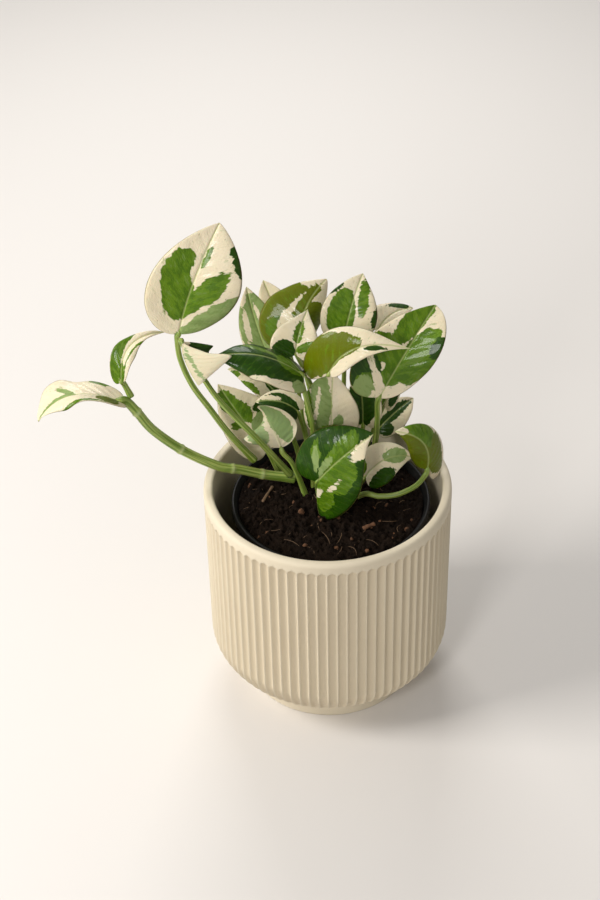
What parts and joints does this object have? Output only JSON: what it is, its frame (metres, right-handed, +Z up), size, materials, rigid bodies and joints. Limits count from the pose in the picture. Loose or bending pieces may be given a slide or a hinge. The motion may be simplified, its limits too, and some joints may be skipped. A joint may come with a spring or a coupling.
{
  "type": "potted pothos plant",
  "caption": "Variegated trailing pothos in a black nursery pot set inside a round fluted cover pot, with one vine leaning out over the rim.",
  "frame": {"origin": "middle of the cover pot's flat underside, on the pot's axis", "axes": "+Z up along the pot's axis, -Y towards the front, and -X the side where the long vine leans out over the rim"},
  "size_m": [0.2039, 0.1448, 0.2542],
  "materials": {
    "pot_glaze": "matt cream glaze",
    "black_plastic": "thin moulded plastic, satin",
    "potting_soil": null,
    "leaf": null,
    "stem": null,
    "bark": "dry bark and twig"
  },
  "bodies": {
    "root": {"bark_chip": "bark", "cover_pot": "pot_glaze", "leaf_back_left": "leaf", "leaf_back_right": "leaf", "leaf_back_tip": "leaf", "leaf_centre_cream": "leaf", "leaf_centre_dark": "leaf", "leaf_centre_olive": "leaf", "leaf_centre_upright": "leaf", "leaf_front": "leaf", "leaf_front_left": "leaf", "leaf_left_arching": "leaf", "leaf_left_end": "leaf", "leaf_left_hanging": "leaf", "leaf_low_back_right": "leaf", "leaf_lower_left": "leaf", "leaf_middle_left": "leaf", "leaf_right_drooping": "leaf", "leaf_right_large": "leaf", "leaf_right_low": "leaf", "leaf_small_dark": "leaf", "leaf_small_left": "leaf", "leaf_tall_left": "leaf", "leaf_upper_back": "leaf", "leaf_upper_centre": "leaf", "leaf_upper_left": "leaf", "nursery_pot": "black_plastic", "petiole_back_left": "stem", "petiole_back_right": "stem", "petiole_back_tip": "stem", "petiole_centre_cream": "stem", "petiole_centre_dark": "stem", "petiole_centre_olive": "stem", "petiole_centre_upright": "stem", "petiole_front": "stem", "petiole_front_left": "stem", "petiole_left_arching": "stem", "petiole_left_hanging": "stem", "petiole_low_back_right": "stem", "petiole_lower_left": "stem", "petiole_middle_left": "stem", "petiole_right_drooping": "stem", "petiole_right_large": "stem", "petiole_right_low": "stem", "petiole_small_dark": "stem", "petiole_small_left": "stem", "petiole_tall_left": "stem", "petiole_upper_back": "stem", "petiole_upper_centre": "stem", "petiole_upper_left": "stem", "soil": "potting_soil", "soil_twig": "bark", "vine": "stem"}
  },
  "joints": []
}
